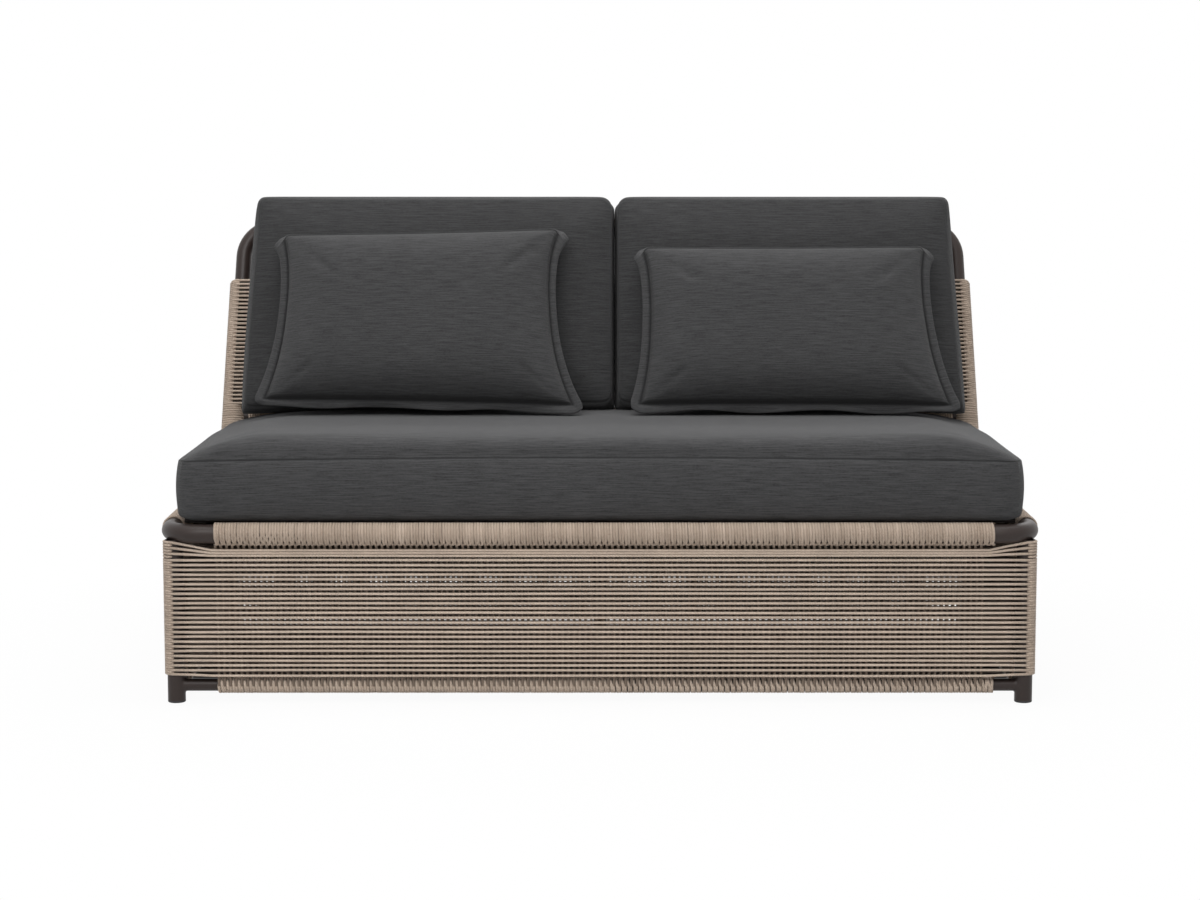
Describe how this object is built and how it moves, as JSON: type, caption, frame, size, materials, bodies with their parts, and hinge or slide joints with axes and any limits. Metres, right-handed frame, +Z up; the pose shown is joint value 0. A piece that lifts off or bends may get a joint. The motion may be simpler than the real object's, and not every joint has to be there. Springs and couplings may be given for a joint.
{
  "type": "outdoor two-seater sofa",
  "caption": "Armless outdoor sofa: a bent-tube frame wound and panelled with rope, with a bench seat cushion, back cushions and flanged lumbar pillows.",
  "frame": {"origin": "on the floor, below the middle of the sofa's box", "axes": "+X to the viewer's right, the front faces -Y, +Z up"},
  "size_m": [1.5916, 0.9202, 0.8884],
  "materials": {
    "frame_metal": "dark brown powder coat, soft sheen",
    "deck_metal": "dark brown powder coat, matt",
    "rope": "taupe and beige round braided outdoor rope",
    "cushion_fabric": "charcoal woven outdoor fabric with fine horizontal slubs",
    "pillow_fabric": "charcoal woven outdoor fabric with fine horizontal slubs",
    "glide_plastic": "matt"
  },
  "bodies": {
    "frame": {"front_left_post": "frame_metal", "front_right_post": "frame_metal", "rear_left_post": "frame_metal", "rear_right_post": "frame_metal", "front_seat_rail": "frame_metal", "rear_seat_rail": "frame_metal", "left_seat_rail": "frame_metal", "right_seat_rail": "frame_metal", "front_bottom_rail": "frame_metal", "rear_bottom_rail": "frame_metal", "left_bottom_rail": "frame_metal", "right_bottom_rail": "frame_metal", "bearer_1": "deck_metal", "bearer_2": "deck_metal", "bearer_3": "deck_metal", "bearer_4": "deck_metal", "bearer_5": "deck_metal", "slat_1": "deck_metal", "slat_2": "deck_metal", "slat_3": "deck_metal", "slat_4": "deck_metal", "slat_5": "deck_metal", "slat_6": "deck_metal", "slat_7": "deck_metal", "centre_leg": "deck_metal", "back_left_upright": "frame_metal", "back_right_upright": "frame_metal", "back_top_rail": "frame_metal", "back_lower_rail": "frame_metal", "glide_front_left": "glide_plastic", "glide_front_right": "glide_plastic", "glide_rear_left": "glide_plastic", "glide_rear_right": "glide_plastic", "glide_centre": "glide_plastic", "front_cross_rope": "rope", "rear_cross_rope": "rope", "left_cross_rope": "rope", "right_cross_rope": "rope", "front_upright_rope": "rope", "rear_upright_rope": "rope", "left_upright_rope": "rope", "right_upright_rope": "rope", "back_cross_rope": "rope", "back_upright_rope": "rope"},
    "seat_cushion": {"seat_cushion": "cushion_fabric"},
    "left_back_cushion": {"left_back_cushion": "cushion_fabric"},
    "right_back_cushion": {"right_back_cushion": "cushion_fabric"},
    "left_pillow": {"left_pillow": "pillow_fabric"},
    "right_pillow": {"right_pillow": "pillow_fabric"}
  },
  "joints": [
    {"name": "seat_cushion_lift", "type": "slide", "parent": "frame", "child": "seat_cushion", "axis": [0, 0, 1], "range_m": [0, 0.25]},
    {"name": "left_back_cushion_lift", "type": "slide", "parent": "seat_cushion", "child": "left_back_cushion", "axis": [0, 0.2588, 0.9659], "range_m": [0, 0.45]},
    {"name": "right_back_cushion_lift", "type": "slide", "parent": "seat_cushion", "child": "right_back_cushion", "axis": [0, 0.2588, 0.9659], "range_m": [0, 0.45]},
    {"name": "left_pillow_pull", "type": "slide", "parent": "seat_cushion", "child": "left_pillow", "axis": [0, -0.9659, 0.2588], "range_m": [0, 0.3]},
    {"name": "right_pillow_pull", "type": "slide", "parent": "seat_cushion", "child": "right_pillow", "axis": [0, -0.9659, 0.2588], "range_m": [0, 0.3]}
  ]
}
